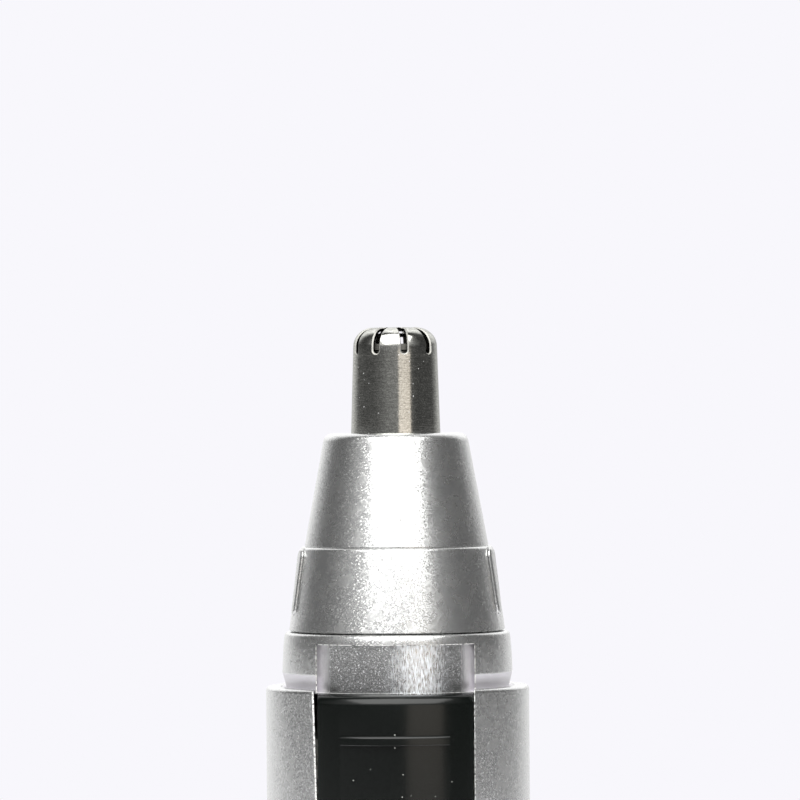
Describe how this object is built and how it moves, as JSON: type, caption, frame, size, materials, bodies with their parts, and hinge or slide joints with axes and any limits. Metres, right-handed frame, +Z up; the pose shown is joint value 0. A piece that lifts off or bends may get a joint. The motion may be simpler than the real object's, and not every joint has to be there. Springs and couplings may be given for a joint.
{
  "type": "nose hair trimmer",
  "caption": "Upright battery nose hair trimmer: a silver tube with a slide switch, a twist-off cone head and a slotted steel guard round a spinning cutter.",
  "frame": {"origin": "centre of the flat base of the battery cap", "axes": "+Z up the tube towards the guard's tip; the slide switch faces -Y; +X to the right seen from the switch"},
  "size_m": [0.0264, 0.0268, 0.1258],
  "materials": {
    "silver_paint": "satin silver metallic lacquer with a fine flake, over moulded ABS",
    "rubber": "black nitrile rubber",
    "plated_steel": "nickel-plated steel",
    "ferrite": "dark grey sintered ferrite",
    "white_plastic": "natural white acetal",
    "bronze": "sintered bronze",
    "plated_brass": "plated spring brass",
    "cell_wrap": "plain printed sleeve",
    "dark_plastic": "dark grey moulded ABS",
    "black_plastic": "black moulded ABS, semi-gloss",
    "stainless_steel": "turned and polished stainless steel",
    "core_iron": "stacked iron laminations",
    "copper": "copper, enamelled on the windings"
  },
  "bodies": {
    "handle": {"body_shell": "silver_paint", "neck_frame": "silver_paint", "head_seal": "rubber", "motor_can": "plated_steel", "magnet_right": "ferrite", "magnet_left": "ferrite", "end_bell": "white_plastic", "front_bush": "bronze", "rear_bush": "bronze", "brush_right": "plated_brass", "brush_left": "plated_brass", "motor_damper": "rubber", "motor_screw_left": "plated_steel", "motor_screw_right": "plated_steel", "carrier_screw_left": "plated_steel", "carrier_screw_right": "plated_steel", "battery_cell": "cell_wrap", "battery_tube": "dark_plastic", "contact_carrier": "dark_plastic", "positive_contact": "plated_brass", "motor_strip": "plated_brass", "negative_strip": "plated_brass"},
    "switch": {"slide_button": "black_plastic", "slide_carrier": "white_plastic", "moving_contact": "plated_brass"},
    "rotor": {"motor_shaft": "stainless_steel", "armature_core": "core_iron", "winding_1": "copper", "winding_2": "copper", "winding_3": "copper", "commutator": "copper", "drive_dog": "dark_plastic", "blade_spring": "stainless_steel"},
    "head": {"guard_tube": "stainless_steel", "head_insert": "dark_plastic"},
    "cone": {"head_cone": "silver_paint"},
    "cutter": {"inner_blade": "stainless_steel", "blade_spindle": "white_plastic"},
    "cap_contact": {"contact_cup": "plated_brass", "battery_spring": "plated_steel"},
    "cap": {"battery_cap": "silver_paint", "cap_seal": "rubber"}
  },
  "joints": [
    {"name": "switch_slide", "type": "slide", "parent": "handle", "child": "switch", "axis": [0, 0, 1], "range_m": [0, 0.0042]},
    {"name": "motor_spin", "type": "hinge", "parent": "handle", "child": "rotor", "pos_m": [0, 0, 0.068], "axis": [0, 0, 1], "continuous": true},
    {"name": "head_lift", "type": "slide", "parent": "handle", "child": "head", "axis": [0, 0, 1], "range_m": [0, 0.03]},
    {"name": "cone_twist", "type": "hinge", "parent": "head", "child": "cone", "pos_m": [0, 0, 0.0955], "axis": [0, 0, 1], "range_deg": [0, 30]},
    {"name": "cutter_spin", "type": "hinge", "parent": "head", "child": "cutter", "pos_m": [0, 0, 0.1023], "axis": [0, 0, 1], "continuous": true},
    {"name": "cap_pull", "type": "slide", "parent": "handle", "child": "cap_contact", "axis": [0, 0, -1], "range_m": [0, 0.03]},
    {"name": "cap_twist", "type": "hinge", "parent": "cap_contact", "child": "cap", "pos_m": [0, 0, 0], "axis": [0, 0, -1], "range_deg": [0, 40]}
  ],
  "couplings": [
    {"joint": "cutter_spin", "follows": "motor_spin", "ratio": 1}
  ]
}
